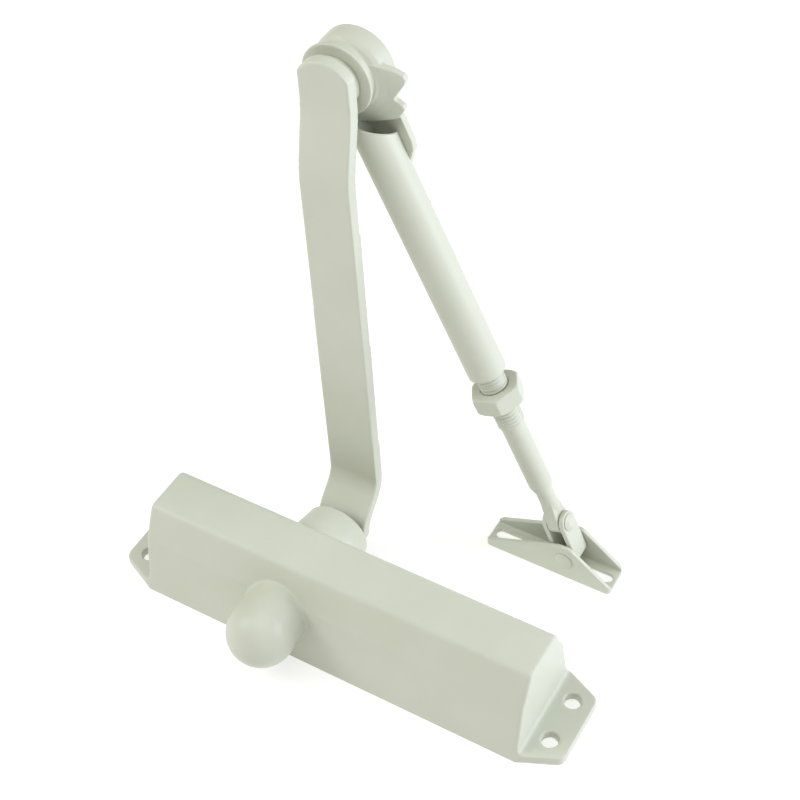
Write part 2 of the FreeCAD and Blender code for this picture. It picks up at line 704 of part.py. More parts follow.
def shaft_seal():
    start = Vector(PINION_X, SEAL_START, BORE_HEIGHT)
    return ring(start, ALONG_Y, UPPER_HOLE_RADIUS, UPPER_JOURNAL_RADIUS + RUNNING_FIT, SEAL_THICKNESS)


def gland_nut():
    """Threaded ring over the seal, with two key notches."""
    bottom = SEAL_START + SEAL_THICKNESS
    start = Vector(PINION_X, bottom, BORE_HEIGHT)
    body = ring(start, ALONG_Y, UPPER_HOLE_RADIUS, UPPER_JOURNAL_RADIUS + FACE_GAP, GLAND_END - bottom)
    wall = UPPER_HOLE_RADIUS - UPPER_JOURNAL_RADIUS
    notches = []
    for side in (-1, 1):
        middle = PINION_X + side * UPPER_HOLE_RADIUS
        corner = Vector(middle - wall / 2, GLAND_END - GLAND_NOTCH_DEPTH, BORE_HEIGHT - GLAND_NOTCH_WIDTH / 2)
        notches.append(Part.makeBox(wall, 2 * GLAND_NOTCH_DEPTH, GLAND_NOTCH_WIDTH, corner))
    return body.cut(notches)


def pinion_cap():
    """Ball-shaped shell that is pressed over the lower boss."""
    inner_radius = CAP_RADIUS - CAP_WALL
    rim_angle = -math.acos(CAP_NECK_RADIUS / CAP_RADIUS)
    socket_angle = -math.acos(LOWER_BOSS_RADIUS / inner_radius)
    outside = ball_arc(CAP_RADIUS, rim_angle, math.pi / 2, CAP_STEPS)
    inside = ball_arc(inner_radius, socket_angle, math.pi / 2, CAP_STEPS // 2)
    profile = [(LOWER_BOSS_RADIUS, -CAP_SEAT), (CAP_NECK_RADIUS, -CAP_SEAT)]
    for radius, out in outside + inside[::-1]:
        profile.append((radius, -CAP_CENTRE - out))
    return revolved_y(profile, PINION_X, BORE_HEIGHT)


def valve_screw(side):
    """Needle valve screw with a slotted head and a groove for its ring."""
    start = valve_place(side)
    body_length = VALVE_LENGTH - VALVE_TIP_LENGTH
    groove_end = VALVE_GROOVE_AT + VALVE_GROOVE_WIDTH
    groove_radius = VALVE_RADIUS - VALVE_GROOVE_DEPTH
    profile = [
        (0, 0), (VALVE_RADIUS, 0), (VALVE_RADIUS, VALVE_GROOVE_AT), (groove_radius, VALVE_GROOVE_AT),
        (groove_radius, groove_end), (VALVE_RADIUS, groove_end), (VALVE_RADIUS, body_length),
        (VALVE_POINT_RADIUS, VALVE_LENGTH), (0, VALVE_LENGTH),
    ]
    screw = revolved_along(profile, start, ALONG_X, ALONG_Z)
    slot = Part.makeBox(
        VALVE_SLOT_DEPTH, 4 * VALVE_RADIUS, VALVE_SLOT_WIDTH,
        start - Vector(0, 2 * VALVE_RADIUS, VALVE_SLOT_WIDTH / 2),
    )
    return screw.cut(slot)


def valve_seal(side):
    """Ring in the groove of a valve screw, squared like the plug's."""
    start = valve_place(side) + ALONG_X * (VALVE_GROOVE_AT + (VALVE_GROOVE_WIDTH - VALVE_RING_WIDTH) / 2)
    return ring(start, ALONG_X, VALVE_RADIUS, VALVE_RADIUS - VALVE_GROOVE_DEPTH, VALVE_RING_WIDTH)


def bent_strip(path, width):
    """Flat bar with bends: path holds (y, z) points of its front face."""
    back = []
    for i, (y, z) in enumerate(path):
        before = path[max(i - 1, 0)]
        after = path[min(i + 1, len(path) - 1)]
        lean_in = math.atan2(y - before[0], z - before[1]) if i > 0 else None
        lean_out = math.atan2(after[0] - y, after[1] - z) if i < len(path) - 1 else None
        lean_in = lean_out if lean_in is None else lean_in
        lean_out = lean_in if lean_out is None else lean_out
        lean = (lean_in + lean_out) / 2
        reach = ARM_THICKNESS / math.cos((lean_out - lean_in) / 2)
        back.append((y + reach * math.cos(lean), z - reach * math.sin(lean)))
    inner = ARM_BEND_RADIUS
    outer = ARM_BEND_RADIUS + ARM_THICKNESS
    gentle_inner = ARM_GENTLE_RADIUS
    gentle_outer = ARM_GENTLE_RADIUS + ARM_THICKNESS
    front_radii = [0, outer, inner, gentle_outer, gentle_inner, 0]
    back_radii = [0, inner, outer, gentle_inner, gentle_outer, 0]
    points = section_yz(path + back[::-1], -width / 2)
    return prism(points, front_radii + back_radii[::-1], ALONG_X * width)


def arm_outline():
    """Tapered bar seen from the front: round at the pinion, crowned at the elbow."""
    lower = ARM_LOWER_WIDTH / 2
    upper = ARM_UPPER_WIDTH / 2
    depth = ELBOW_BACK + ARM_THICKNESS
    top = ELBOW_Z + ARM_CROWN_RADIUS
    bar = prism(
        section_xz(
            [
                (PINION_X - lower, BORE_HEIGHT), (PINION_X + lower, BORE_HEIGHT),
                (ELBOW_X + upper, top), (ELBOW_X - upper, top),
            ],
            0,
        ),
        [0, 0, 0, 0], ALONG_Y * depth,
    )
    below = Part.makeBox(
        2 * ARM_LOWER_WIDTH, depth, ARM_LENGTH, Vector(ELBOW_X - ARM_LOWER_WIDTH, 0, BORE_HEIGHT),
    )
    crown = rod(Vector(ELBOW_X, 0, ELBOW_Z), ALONG_Y, ARM_CROWN_RADIUS, depth)
    low_end = rod(Vector(PINION_X, 0, BORE_HEIGHT), ALONG_Y, lower, depth)
    return bar.common(below.fuse(crown)).fuse(low_end).removeSplitter()


def main_arm():
    """Joggled flat bar, square hole at the pinion, round hole at the elbow."""
    low = BORE_HEIGHT - ARM_LOWER_WIDTH
    high = ELBOW_Z + ARM_UPPER_WIDTH
    lower_bend = BORE_HEIGHT + ARM_LOWER_BEND
    upper_bend = ELBOW_Z - ARM_UPPER_BEND
    path = [
        (ARM_SEAT, low), (ARM_SEAT, lower_bend), (ARM_PLANE, lower_bend + ARM_LOWER_BEND_RISE),
        (ARM_PLANE, upper_bend), (ELBOW_FRONT, upper_bend + ARM_UPPER_BEND_RISE), (ELBOW_FRONT, high),
    ]
    strip = bent_strip(path, 3 * ARM_LOWER_WIDTH)
    strip.translate(Vector(PINION_X, 0, 0))
    arm = strip.common(arm_outline())
    opening = SQUARE_SIZE + 2 * SLIDING_FIT
    pinion = Vector(PINION_X, ARM_SEAT - 1, BORE_HEIGHT)
    square = Part.makeBox(
        opening, 2 * ARM_THICKNESS, opening, pinion - Vector(opening / 2, 0, opening / 2),
    )
    corners = rod(pinion, ALONG_Y, SQUARE_CORNER_RADIUS + SLIDING_FIT, 2 * ARM_THICKNESS)
    spot_face = rod(
        Vector(PINION_X, ARM_BACK, BORE_HEIGHT), ALONG_Y, ARM_WASHER_RADIUS + FACE_GAP, ARM_THICKNESS,
    )
    stem_start = Vector(ELBOW_X, ELBOW_FRONT + ELBOW_SKIN, ELBOW_Z)
    pin_hole = rod(stem_start, ALONG_Y, ELBOW_STEM_RADIUS, ARM_THICKNESS)
    return arm.cut([square.common(corners), spot_face, pin_hole])


def arm_washer():
    start = Vector(PINION_X, ARM_BACK, BORE_HEIGHT)
    return ring(start, ALONG_Y, ARM_WASHER_RADIUS, ARM_SCREW_SHANK + FACE_GAP, ARM_WASHER_THICKNESS)


def arm_screw():
    """Socket screw that clamps the arm on the square."""
    seat = ARM_BACK + ARM_WASHER_THICKNESS
    start = Vector(PINION_X, seat, BORE_HEIGHT)
    head = rod(start, ALONG_Y, ARM_SCREW_RADIUS, ARM_SCREW_HEAD)
    socket_start = start + ALONG_Y * (ARM_SCREW_HEAD - ARM_SCREW_SOCKET_DEPTH)
    socket = hexagon(socket_start, ALONG_Y, ARM_SCREW_SOCKET, ARM_SCREW_HEAD)
    shank_end = ARM_BACK - SQUARE_SHORT - ARM_SCREW_LENGTH + FACE_GAP
    shank = rod(Vector(PINION_X, shank_end, BORE_HEIGHT), ALONG_Y, ARM_SCREW_SHANK, seat - shank_end)
    return head.fuse(shank).cut(socket).removeSplitter()


def elbow_washer():
    start = Vector(ELBOW_X, ELBOW_COLLAR_END, ELBOW_Z)
    return ring(start, ALONG_Y, ELBOW_WASHER_RADIUS, ELBOW_PIN_RADIUS, ELBOW_WASHER_THICKNESS)


def elbow_pin():
    """Shouldered rivet: stem in the arm, collar, pivot in the knuckle, domed head behind."""
    stem_end = ELBOW_FRONT + ELBOW_SKIN
    head = HEAD_BACK + FACE_GAP
    crown = head + ELBOW_HEAD_HEIGHT
    return revolved_y(
        [
            (0, stem_end), (ELBOW_STEM_RADIUS, stem_end), (ELBOW_STEM_RADIUS, ELBOW_BACK),
            (ELBOW_COLLAR_RADIUS, ELBOW_BACK), (ELBOW_COLLAR_RADIUS, ELBOW_COLLAR_END),
            (ELBOW_PIN_RADIUS, ELBOW_COLLAR_END), (ELBOW_PIN_RADIUS, head), (ELBOW_HEAD_RADIUS, head),
            (ELBOW_HEAD_RADIUS, head + ELBOW_HEAD_HEIGHT / 3), (ELBOW_HEAD_RADIUS / 2, crown), (0, crown),
        ],
        ELBOW_X, ELBOW_Z,
    )


def knuckle_points(points, y):
    """Flat points (along, across) in the forearm's own directions round the elbow, at one y."""
    along = Vector(FOREARM.x, 0, FOREARM.z).normalize()
    across = Vector(-along.z, 0, along.x)
    origin = Vector(ELBOW_X, y, ELBOW_Z)
    return [origin + along * run + across * offset for run, offset in points]


def both_sides(points):
    """A half outline and its mirror image across the forearm."""
    return points + [(run, -offset) for run, offset in reversed(points)]


def flare_profile(lift):
    """Front of the flare as (radius, y) points, set back by a wall."""
    start = HEAD_FRONT + KNUCKLE_NECK + lift
    return [
        (KNUCKLE_NECK_RADIUS, start), (FLARE_WAIST_RADIUS, start + FLARE_WAIST),
        (FLARE_RADIUS, start + FLARE_RISE),
    ]


def knuckle_blank():
    """Drum with its claws, under a flared front."""
    centre = Vector(ELBOW_X, HEAD_FRONT, ELBOW_Z)
    drum = rod(centre, ALONG_Y, KNUCKLE_RADIUS, KNUCKLE_DEPTH)
    plain_side = [(MOUTH_AT, -KNUCKLE_RADIUS), (0, -KNUCKLE_RADIUS)]
    outline = knuckle_points(CLAW_OUTLINE + plain_side, HEAD_FRONT)
    claws = prism(outline, CLAW_ROUNDS + [MOUTH_CORNER_ROUND, 0], ALONG_Y * KNUCKLE_DEPTH)
    profile = [(0, HEAD_FRONT), (KNUCKLE_NECK_RADIUS, HEAD_FRONT)]
    profile += flare_profile(0) + [(FLARE_RADIUS, HEAD_BACK), (0, HEAD_BACK)]
    return drum.fuse(claws).common(revolved_y(profile, ELBOW_X, ELBOW_Z))


def knuckle_pocket():
    """Hollow behind the flare, open towards the tube."""
    floor = HEAD_BACK - EAR_THICKNESS
    profile = [(KNUCKLE_CORE_RADIUS, floor), (KNUCKLE_CORE_RADIUS, HEAD_FRONT + KNUCKLE_NECK + KNUCKLE_WALL)]
    profile += flare_profile(KNUCKLE_WALL) + [(FLARE_RADIUS, floor)]
    hollow = revolved_y(profile, ELBOW_X, ELBOW_Z)
    corners = [(0, POCKET_HALF_WIDTH), (2 * FLARE_RADIUS, POCKET_HALF_WIDTH)]
    slot = prism(knuckle_points(both_sides(corners), HEAD_FRONT), [0, 0, 0, 0], ALONG_Y * KNUCKLE_DEPTH)
    return hollow.common(slot)


def ear_plate():
    """Plate behind the tube that ends in two ears."""
    outline = knuckle_points(both_sides([EAR_ROOT, EAR_CORNER, EAR_END]), HEAD_BACK - EAR_THICKNESS)
    radii = [0, EAR_ROUND, EAR_ROUND]
    return prism(outline, radii + radii[::-1], ALONG_Y * EAR_THICKNESS)


def forearm_head():
    """Knuckle with its flare, ears and the spigot that carries the tube."""
    root = KNUCKLE_CORE_RADIUS - 1
    spigot = rod(on_forearm(root), FOREARM, SPIGOT_RADIUS, TUBE_START + SPIGOT_LENGTH - root)
    tube_space = ring(on_forearm(TUBE_START), FOREARM, TUBE_RADIUS, SPIGOT_RADIUS, TUBE_END)
    pin_hole = rod(Vector(ELBOW_X, 0, ELBOW_Z), ALONG_Y, ELBOW_PIN_RADIUS + RUNNING_FIT, 2 * HEAD_BACK)
    washer_space = rod(
        Vector(ELBOW_X, ELBOW_BACK, ELBOW_Z), ALONG_Y, ELBOW_WASHER_RADIUS + MOVING_GAP,
        HEAD_FRONT - ELBOW_BACK,
    )
    head = knuckle_blank().cut(knuckle_pocket()).fuse([ear_plate(), spigot])
    return head.cut([tube_space, pin_hole, washer_space, tube_rivet_bar()])


def tube_rivet_bar():
    start = on_forearm(TUBE_START + TUBE_RIVET_IN) - FOREARM_SIDE * (2 * TUBE_RADIUS)
    return rod(start, FOREARM_SIDE, TUBE_RIVET_RADIUS, 4 * TUBE_RADIUS)


def tube_rivet():
    """Cross pin, dressed flush with the tube."""
    skin = rod(on_forearm(TUBE_START), FOREARM, TUBE_RADIUS, TUBE_END - TUBE_START)
    return tube_rivet_bar().common(skin)


def forearm_tube():
    thread_start = TUBE_END - TUBE_THREAD_LENGTH
    thread = ROD_THREAD_RADIUS + SLIDING_FIT
    profile = [
        (SPIGOT_RADIUS, TUBE_START), (TUBE_RADIUS - TUBE_CHAMFER / 2, TUBE_START),
        (TUBE_RADIUS, TUBE_START + TUBE_CHAMFER), (TUBE_RADIUS, TUBE_END - TUBE_CHAMFER),
        (TUBE_RADIUS - TUBE_CHAMFER, TUBE_END), (thread, TUBE_END), (thread, thread_start),
        (SPIGOT_RADIUS, thread_start),
    ]
    tube = revolved_along(profile, FOREARM_TOP, FOREARM, FOREARM_SIDE)
    return tube.cut(tube_rivet_bar())


def adjusting_rod():
    """Threaded rod that necks down to a flat tang with an eye."""
    chamfer = ROD_THREAD_CHAMFER
    profile = [
        (0, ROD_START), (ROD_THREAD_RADIUS - chamfer, ROD_START), (ROD_THREAD_RADIUS, ROD_START + chamfer),
        (ROD_THREAD_RADIUS, ROD_THREAD_END - chamfer), (ROD_SHANK_RADIUS, ROD_THREAD_END),
        (ROD_SHANK_RADIUS, ROD_SHANK_END), (ROD_NECK_RADIUS, ROD_SHANK_END + ROD_TAPER),
        (ROD_NECK_RADIUS, ROD_NECK_END), (0, ROD_NECK_END),
    ]
    shank = revolved_along(profile, FOREARM_TOP, FOREARM, FOREARM_SIDE)
    half = TANG_THICKNESS / 2
    eye = rod(EYE - FOREARM_SIDE * half, FOREARM_SIDE, TANG_WIDTH / 2, TANG_THICKNESS)
    root = on_forearm(ROD_NECK_END - ROD_TANG_SINK) - FOREARM_SIDE * half
    low = EYE - FOREARM_SIDE * half
    corners = [
        root - FOREARM_FLAT * half, low - FOREARM_FLAT * (TANG_WIDTH / 2),
        low + FOREARM_FLAT * (TANG_WIDTH / 2), root + FOREARM_FLAT * half,
    ]
    tang = prism(corners, [0, 0, 0, 0], FOREARM_SIDE * TANG_THICKNESS)
    hole = rod(
        EYE - FOREARM_SIDE * TANG_THICKNESS, FOREARM_SIDE, FOOT_RIVET_RADIUS + RUNNING_FIT,
        2 * TANG_THICKNESS,
    )
    return shank.fuse([tang, eye]).cut(hole).removeSplitter()


def lock_nut():
    """Hexagon nut with chamfered corners."""
    start = on_forearm(NUT_START)
    corner_radius = NUT_ACROSS_FLATS / math.sqrt(3)
    nut = hexagon(start, FOREARM, NUT_ACROSS_FLATS, NUT_HEIGHT)
    end = NUT_START + NUT_HEIGHT
    envelope = revolved_along(
        [
            (0, NUT_START), (corner_radius - NUT_CHAMFER, NUT_START),
            (corner_radius + FACE_GAP, NUT_START + NUT_CHAMFER),
            (corner_radius + FACE_GAP, end - NUT_CHAMFER), (corner_radius - NUT_CHAMFER, end), (0, end),
        ],
        FOREARM_TOP, FOREARM, FOREARM_SIDE,
    )
    hole = rod(start - FOREARM, FOREARM, ROD_THREAD_RADIUS + SLIDING_FIT, NUT_HEIGHT + 2)
    return nut.common(envelope).cut(hole)


def link_frame():
    """The strap's eye centre, its run towards the pin and its cross direction."""
    run = FOOT_PIN.sub(EYE).normalize()
    return run, ALONG_Y.cross(run).normalize()


def foot_link():
    """Strap bent round the bracket pin, its two legs on the tang's flats."""
    inner = BRACKET_PIN_RADIUS + SLIDING_FIT
    outer = inner + LINK_THICKNESS
    half = LINK_WIDTH / 2
    run, side = link_frame()
    length = FOOT_PIN.sub(EYE).Length
    base = FOOT_PIN - ALONG_Y * half

    def slab(half_gap, low, high):
        corners = [
            base + side * half_gap + run * low, base - side * half_gap + run * low,
            base - side * half_gap - run * high, base + side * half_gap - run * high,
        ]
        return prism(corners, [0, 0, 0, 0], ALONG_Y * LINK_WIDTH)

    loop = rod(base, ALONG_Y, outer, LINK_WIDTH)
    leg_ends = rod(EYE - side * (2 * outer), side, half, 4 * outer)
    straight = slab(outer, outer, length)
    body = loop.fuse(slab(outer, 0, length + half)).common(straight.fuse(leg_ends))
    pin_space = rod(base, ALONG_Y, inner, LINK_WIDTH)
    hole = rod(EYE - side * (2 * outer), side, FOOT_RIVET_RADIUS + RUNNING_FIT, 4 * outer)
    return body.cut([slab(inner, 0, 2 * length), pin_space, hole]).removeSplitter()


def button_head(rim, reach, height):
    """Half profile (radius, distance) of a low rivet head, from its seat to its crown."""
    crown = reach + height
    return [(rim, reach), (rim, reach + HEAD_EDGE), (rim / 2, crown), (0, crown)]


def foot_rivet():
    """Rivet through both legs of the strap and the tang's eye."""
    reach = BRACKET_PIN_RADIUS + SLIDING_FIT + LINK_THICKNESS
    run, side = link_frame()
    head = button_head(FOOT_RIVET_HEAD_RADIUS, reach, FOOT_RIVET_HEAD_HEIGHT)
    near = [(radius, -distance) for radius, distance in reversed(head)]
    shank = [(FOOT_RIVET_RADIUS, -reach), (FOOT_RIVET_RADIUS, reach)]
    return revolved_along(near + shank + head, EYE, side, run)


def bracket_slot(centre_x):
    """Screw slot through the bracket's base."""
    run = (BRACKET_SLOT_LENGTH - BRACKET_SLOT_WIDTH) / 2
    half = BRACKET_SLOT_WIDTH / 2
    low = -BRACKET_SHEET
    depth = 4 * BRACKET_SHEET
    slot = Part.makeBox(2 * run, 2 * half, depth, Vector(centre_x - run, BRACKET_Y - half, low))
    ends = [rod(Vector(centre_x + end * run, BRACKET_Y, low), ALONG_Z, half, depth) for end in (-1, 1)]
    return slot.fuse(ends)


def foot_bracket():
    """Sheet channel with two three-cornered walls and a slotted base."""
    front = BRACKET_Y - BRACKET_HALF_WIDTH
    width = 2 * BRACKET_HALF_WIDTH
    length = BRACKET_RIGHT - BRACKET_LEFT
    top_left = FOOT_PIN_X - BRACKET_TOP_LENGTH / 2
    top_right = FOOT_PIN_X + BRACKET_TOP_LENGTH / 2
    outline = [
        (BRACKET_LEFT, 0), (BRACKET_RIGHT, 0), (BRACKET_RIGHT, BRACKET_END_HEIGHT),
        (top_right, BRACKET_HEIGHT), (top_left, BRACKET_HEIGHT), (BRACKET_LEFT, BRACKET_END_HEIGHT),
    ]
    radii = [0, 0, BRACKET_END_ROUND, BRACKET_TOP_ROUND, BRACKET_TOP_ROUND, BRACKET_END_ROUND]
    block = prism(section_xz(outline, front), radii, ALONG_Y * width)
    channel = Part.makeBox(
        2 * length, BRACKET_INNER_WIDTH, BRACKET_HEIGHT,
        Vector(BRACKET_LEFT - length / 2, front + BRACKET_SHEET, BRACKET_SHEET),
    )
    plan = [
        (BRACKET_LEFT, front), (BRACKET_RIGHT, front), (BRACKET_RIGHT, front + width),
        (BRACKET_LEFT, front + width),
    ]
    plan_prism = prism(section_xy(plan, 0), [BRACKET_CORNER_ROUND] * 4, ALONG_Z * BRACKET_HEIGHT)
    bracket = block.common(plan_prism).cut(channel)
    middle = (BRACKET_LEFT + BRACKET_RIGHT) / 2
    cuts = [rod(FOOT_PIN - ALONG_Y * width, ALONG_Y, BRACKET_PIN_RADIUS, 2 * width)]
    for side in (-1, 1):
        cuts.append(bracket_slot(middle + side * BRACKET_SLOT_PITCH / 2))
    return bracket.cut(cuts)


def bracket_pin():
    """Pin across the bracket with a low head on each side."""
    head = button_head(BRACKET_PIN_HEAD_RADIUS, BRACKET_HALF_WIDTH, BRACKET_PIN_HEAD_HEIGHT)
    near = [(radius, -distance) for radius, distance in reversed(head)]
    shank = [(BRACKET_PIN_RADIUS, -BRACKET_HALF_WIDTH), (BRACKET_PIN_RADIUS, BRACKET_HALF_WIDTH)]
    return revolved_along(near + shank + head, FOOT_PIN, ALONG_Y, ALONG_X)


PARTS = {
    "housing": housing,
    "end_plug": end_plug,
    "end_plug_seal": end_plug_seal,
    "piston": piston,
    "piston_seal": piston_seal,
    "check_ball": check_ball,
    "check_retainer": check_retainer,
    "main_spring": main_spring,
    "pinion_shaft": pinion_shaft,
    "upper_bearing": upper_bearing,
    "lower_bearing": lower_bearing,
    "lower_plug": lower_plug,
    "shaft_seal": shaft_seal,
    "gland_nut": gland_nut,
    "pinion_cap": pinion_cap,
    "closing_valve": lambda: valve_screw(-1),
    "latching_valve": lambda: valve_screw(1),
    "closing_valve_seal": lambda: valve_seal(-1),
    "latching_valve_seal": lambda: valve_seal(1),
    "main_arm": main_arm,
    "arm_washer": arm_washer,
    "arm_screw": arm_screw,
    "elbow_washer": elbow_washer,
    "elbow_pin": elbow_pin,
    "forearm_head": forearm_head,
    "forearm_tube": forearm_tube,
    "tube_rivet": tube_rivet,
    "adjusting_rod": adjusting_rod,
    "lock_nut": lock_nut,
    "foot_link": foot_link,
    "foot_rivet": foot_rivet,
    "foot_bracket": foot_bracket,
    "bracket_pin": bracket_pin,
}

os.makedirs("parts", exist_ok=True)
for name, make in PARTS.items():
    shape = make()
    print(name, len(shape.Solids), shape.isValid(), round(shape.Volume, 1))
    shape.exportStep("parts/" + name + ".step")
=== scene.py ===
import json
import math

import bmesh
import bpy
from mathutils import Matrix, Vector


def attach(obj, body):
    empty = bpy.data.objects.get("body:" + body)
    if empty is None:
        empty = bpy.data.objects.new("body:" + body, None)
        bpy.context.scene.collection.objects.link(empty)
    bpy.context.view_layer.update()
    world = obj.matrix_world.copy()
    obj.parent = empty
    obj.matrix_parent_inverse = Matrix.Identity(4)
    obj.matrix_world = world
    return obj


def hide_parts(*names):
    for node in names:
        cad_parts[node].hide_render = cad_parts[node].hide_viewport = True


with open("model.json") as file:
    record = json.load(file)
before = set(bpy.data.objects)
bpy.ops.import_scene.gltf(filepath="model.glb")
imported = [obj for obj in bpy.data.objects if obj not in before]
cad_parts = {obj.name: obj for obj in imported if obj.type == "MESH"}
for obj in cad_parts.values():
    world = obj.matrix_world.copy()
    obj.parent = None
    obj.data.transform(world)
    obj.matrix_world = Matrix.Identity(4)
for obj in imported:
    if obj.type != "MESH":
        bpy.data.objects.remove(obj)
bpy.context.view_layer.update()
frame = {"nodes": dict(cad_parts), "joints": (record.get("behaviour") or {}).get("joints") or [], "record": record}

# Camera of the photograph, in metres in the frame's axes
CAMERA_PLACE = Vector((0.20184, -0.27104, 0.47705))
CAMERA_FORWARD = Vector((-0.37226, 0.57621, -0.7276))
CAMERA_RIGHT = Vector((0.8636, 0.50224, -0.04411))
FIELD_OF_VIEW = math.radians(28.07)
CAMERA_NEAR = 0.01

# Colours of the finishes, and the shades of one colour as shares of it
ENAMEL = (0.582, 0.6, 0.512)
ENAMEL_SHADE = (0.556, 0.573, 0.477)
ZINC = (0.55, 0.55, 0.53)
STEEL = (0.36, 0.37, 0.39)
BRONZE = (0.45, 0.30, 0.14)
BRASS = (0.60, 0.45, 0.18)
METAL_SHADE = 0.8
RUBBER = (0.02, 0.02, 0.02)
RUBBER_LIGHT = 1.6

# Noises of the finishes as scale and detail, and the stretch of a noise that is used
CLOUDS = (45.0, 3)
PEEL = (900.0, 2)
METAL_GRAIN = (1600.0, 4)
RUBBER_GRAIN = (2200.0, 3)
NOISE_LOW = 0.3
NOISE_HIGH = 0.7

# Gloss: a spread is how far roughness wanders down and up
ENAMEL_SPECULAR = 0.3
ENAMEL_SPREAD = (0.04, 0.06)
METAL_SPREAD = (0.06, 0.08)
RUBBER_ROUGHNESS = (0.6, 0.75)

# Bumps of the finishes as strength and height in metres
PEEL_BUMP = (0.12, 0.0002)
METAL_BUMP = (0.08, 0.0001)

# Floor and light: the lights are name, place, size in metres, watts, colour
FLOOR_REACH = 3.0
FLOOR_GREY = 0.46
FLOOR_ROUGHNESS = 0.9
FLOOR_GLOW = 0.64
FLOOR_GLOW_COLOUR = (1.0, 1.0, 0.98, 1)
WORLD_COLOUR = (1.0, 0.98, 0.92, 1)
WORLD_STRENGTH = 0.44
BACKDROP_LIFT = 0.48
LIGHT_AIM = Vector((0.0, 0.02, 0.08))
LIGHTS = [
    ("left_softbox", (-0.8, -0.45, 0.85), 0.6, 6.2, (0.98, 1.0, 1.0)),
    ("right_softbox", (1.05, 0.45, 0.40), 0.8, 11.4, (0.93, 1.0, 1.12)),
    ("front_softbox", (0.0, -0.2, 1.25), 0.9, 4.4, (0.99, 1.0, 1.0)),
]

# Painted nodes whose edges are rounded: node, voxel in metres, smoothing passes
SOFT_NODES = [
    ("housing", 0.0005, 6),
    ("main_arm", 0.0004, 5),
    ("foot_bracket", 0.00025, 3),
    ("foot_link", 0.00025, 3),
    ("lock_nut", 0.0003, 4),
    ("foot_rivet", 0.0002, 4),
    ("bracket_pin", 0.0002, 4),
    ("elbow_pin", 0.0003, 4),
    ("elbow_washer", 0.00025, 3),
    ("tube_rivet", 0.0002, 2),
]
SMOOTH_FACTOR = 0.5

# Places of the part that the pieces below stand on, in millimetres, from its joints
MM = 0.001
JOINTS = {joint["name"]: joint for joint in frame["joints"]}
PINION = Vector(JOINTS["arm_swing"]["pos_m"]) / MM
ELBOW_JOINT = Vector(JOINTS["elbow_swing"]["pos_m"]) / MM
ELBOW = Vector((ELBOW_JOINT.x, 0, ELBOW_JOINT.z))
EYE = Vector(JOINTS["link_swing"]["pos_m"]) / MM
FOREARM_OUT = 54.6
FOREARM_TOP = ELBOW + Vector((0, FOREARM_OUT, 0))
FOREARM = Vector(JOINTS["length_adjust"]["axis"]).normalized()
FOREARM_SIDE = Vector((0, 1, 0)).cross(FOREARM).normalized()
FOREARM_FLAT = FOREARM.cross(FOREARM_SIDE).normalized()
HEAD_FRONT = 51.0
HEAD_BACK = 62.0
HEAD_ALONG = Vector((FOREARM.x, 0, FOREARM.z)).normalized()
HEAD_ACROSS = Vector((-HEAD_ALONG.z, 0, HEAD_ALONG.x))

# Pinion cap: a ball whose rim runs down to a neck
CAP_SEAT = 19.0
CAP_CENTRE = 26.0
CAP_RADIUS = 12.5
CAP_NECK_RADIUS = 12.2
CAP_ROWS = 28
CAP_STEPS = 96
CAP_SKIRT = 4.0
CAP_POLE = 0.02
CAP_CREASE = 40

# Knuckle: profiles are (radius, y), outlines are (along, across) the forearm
KNUCKLE_STEPS = 96
KNUCKLE_VOXEL = 0.00024
KNUCKLE_PASSES = 4
NECK_PROFILE = [
    (4.6, 51.0), (10.6, 51.0), (11.0, 51.4), (11.0, 52.2), (10.7, 52.9), (10.7, 61.9), (4.6, 61.9),
]
DRUM_PROFILE = [
    (8.0, 53.2), (10.4, 53.2), (11.6, 54.2), (12.4, 55.4),
    (12.7, 56.8), (12.7, 61.2), (12.1, 62.0), (8.0, 62.0),
]
DRUM_SHIFT = Vector((1.0, 0.0, -0.55))
BELL_PROFILE = [
    (8.0, 53.0), (10.8, 53.0), (12.4, 53.9), (14.6, 54.9), (17.4, 55.9), (20.4, 56.7), (23.0, 57.3),
    (23.0, 59.3), (20.0, 58.8), (17.0, 58.0), (14.2, 57.1), (12.0, 56.6), (8.0, 56.4),
]
CLAW_OUTLINE = [
    (-4.0, 8.0), (-1.0, 12.6), (2.0, 16.6), (4.2, 18.6), (5.9, 18.8), (7.4, 17.6), (10.8, 12.9), (11.8, 12.7),
    (14.2, 14.0), (15.6, 13.9), (18.2, 10.6), (18.4, 9.2), (18.2, 0.0), (18.0, -9.0), (15.0, -12.2),
    (0.0, -12.2), (-4.0, -8.0),
]
EAR_OUTLINE = [
    (6.0, 8.6), (28.0, 9.3), (31.0, 8.6), (36.6, 4.4), (37.2, 2.8), (37.2, -2.8), (36.6, -4.4), (31.0, -8.6),
    (28.0, -9.3), (6.0, -8.6),
]
EAR_FRONT = 59.4

# Forearm tube: distances run along the forearm, and the slant fades out down the tube
TUBE_RADIUS = 6.75
TUBE_BORE = 5.15
TUBE_MOUTH = 19.6
TUBE_MOUTH_SLANT = 4.6
TUBE_MOUTH_TURN = math.radians(50.0)
SLANT_FADE = 8
TUBE_END = 119.4
TUBE_EDGE = 0.7
TUBE_LIP = 6.0
TUBE_ROWS = 24
TUBE_STEPS = 72
TUBE_CREASE = 35
ROD_CLEARANCE = 0.15

# Spigot of the knuckle, deep in the tube
SPIGOT_END = 31.0
SPIGOT_CHAMFER = 0.6
SPIGOT_LENGTH = 12.0
SPIGOT_STEPS = 48

